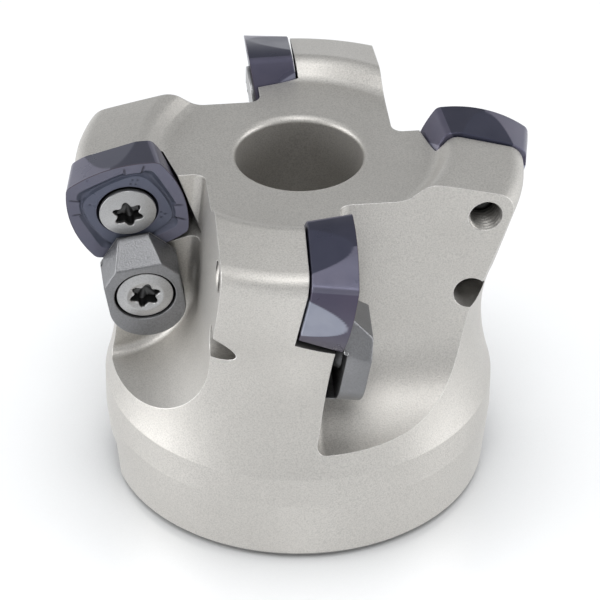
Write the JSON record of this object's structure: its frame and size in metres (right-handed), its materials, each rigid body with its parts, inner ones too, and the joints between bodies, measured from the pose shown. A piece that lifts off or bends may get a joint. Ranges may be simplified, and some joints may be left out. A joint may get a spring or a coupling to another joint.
{
  "type": "face mill",
  "caption": "Indexable face mill: a bored steel body whose teeth hold coated square inserts, each held by its own screw and a nose clamp, with deep chip gullets.",
  "frame": {"origin": "centre of the hub's back face, on the axis of rotation", "axes": "+Z along the axis of rotation towards the cutting end; X along the drive slot"},
  "size_m": [0.0628, 0.0628, 0.0514],
  "materials": {
    "body_steel": "bead-blasted satin nickel, warm light grey",
    "coated_carbide": "dark slate coating with a violet sheen",
    "screw_steel": "satin, light grey",
    "clamp_steel": "blasted tool steel, mid grey",
    "spring_steel": "drawn spring wire"
  },
  "bodies": {
    "root": {"cutter_body": "body_steel", "insert_1": "coated_carbide", "insert_2": "coated_carbide", "insert_3": "coated_carbide", "insert_4": "coated_carbide", "clamp_spring_1": "spring_steel", "clamp_spring_2": "spring_steel", "clamp_spring_3": "spring_steel", "clamp_spring_4": "spring_steel"},
    "insert_screw_1": {"insert_screw_1": "screw_steel"},
    "clamp_1": {"clamp_1": "clamp_steel"},
    "clamp_screw_1": {"clamp_screw_1": "screw_steel"},
    "insert_screw_2": {"insert_screw_2": "screw_steel"},
    "clamp_2": {"clamp_2": "clamp_steel"},
    "clamp_screw_2": {"clamp_screw_2": "screw_steel"},
    "insert_screw_3": {"insert_screw_3": "screw_steel"},
    "clamp_3": {"clamp_3": "clamp_steel"},
    "clamp_screw_3": {"clamp_screw_3": "screw_steel"},
    "insert_screw_4": {"insert_screw_4": "screw_steel"},
    "clamp_4": {"clamp_4": "clamp_steel"},
    "clamp_screw_4": {"clamp_screw_4": "screw_steel"}
  },
  "joints": [
    {"name": "insert_screw_1_turn", "type": "hinge", "parent": "root", "child": "insert_screw_1", "pos_m": [0.00364, -0.02321, 0.04337], "axis": [0.991, 0, -0.134], "range_deg": [0, 180]},
    {"name": "clamp_1_lift", "type": "slide", "parent": "root", "child": "clamp_1", "axis": [0.991, 0, -0.134], "range_m": [0, 0.0027], "deforming": ["clamp_spring_1"]},
    {"name": "clamp_screw_1_turn", "type": "hinge", "parent": "clamp_1", "child": "clamp_screw_1", "pos_m": [0.00605, -0.0213, 0.03129], "axis": [0.991, 0, -0.134], "range_deg": [0, 1216]},
    {"name": "insert_screw_2_turn", "type": "hinge", "parent": "root", "child": "insert_screw_2", "pos_m": [0.02321, 0.00364, 0.04337], "axis": [0, 0.991, -0.134], "range_deg": [0, 180]},
    {"name": "clamp_2_lift", "type": "slide", "parent": "root", "child": "clamp_2", "axis": [0, 0.991, -0.134], "range_m": [0, 0.0027], "deforming": ["clamp_spring_2"]},
    {"name": "clamp_screw_2_turn", "type": "hinge", "parent": "clamp_2", "child": "clamp_screw_2", "pos_m": [0.0213, 0.00605, 0.03129], "axis": [0, 0.991, -0.134], "range_deg": [0, 1216]},
    {"name": "insert_screw_3_turn", "type": "hinge", "parent": "root", "child": "insert_screw_3", "pos_m": [-0.00364, 0.02321, 0.04337], "axis": [-0.991, 0, -0.134], "range_deg": [0, 180]},
    {"name": "clamp_3_lift", "type": "slide", "parent": "root", "child": "clamp_3", "axis": [-0.991, 0, -0.134], "range_m": [0, 0.0027], "deforming": ["clamp_spring_3"]},
    {"name": "clamp_screw_3_turn", "type": "hinge", "parent": "clamp_3", "child": "clamp_screw_3", "pos_m": [-0.00605, 0.0213, 0.03129], "axis": [-0.991, 0, -0.134], "range_deg": [0, 1216]},
    {"name": "insert_screw_4_turn", "type": "hinge", "parent": "root", "child": "insert_screw_4", "pos_m": [-0.02321, -0.00364, 0.04337], "axis": [0, -0.991, -0.134], "range_deg": [0, 180]},
    {"name": "clamp_4_lift", "type": "slide", "parent": "root", "child": "clamp_4", "axis": [0, -0.991, -0.134], "range_m": [0, 0.0027], "deforming": ["clamp_spring_4"]},
    {"name": "clamp_screw_4_turn", "type": "hinge", "parent": "clamp_4", "child": "clamp_screw_4", "pos_m": [-0.0213, -0.00605, 0.03129], "axis": [0, -0.991, -0.134], "range_deg": [0, 1216]}
  ],
  "couplings": [
    {"joint": "clamp_screw_1_turn", "follows": "clamp_1_lift", "rad_per_m": 7854},
    {"joint": "clamp_screw_2_turn", "follows": "clamp_2_lift", "rad_per_m": 7854},
    {"joint": "clamp_screw_3_turn", "follows": "clamp_3_lift", "rad_per_m": 7854},
    {"joint": "clamp_screw_4_turn", "follows": "clamp_4_lift", "rad_per_m": 7854}
  ]
}
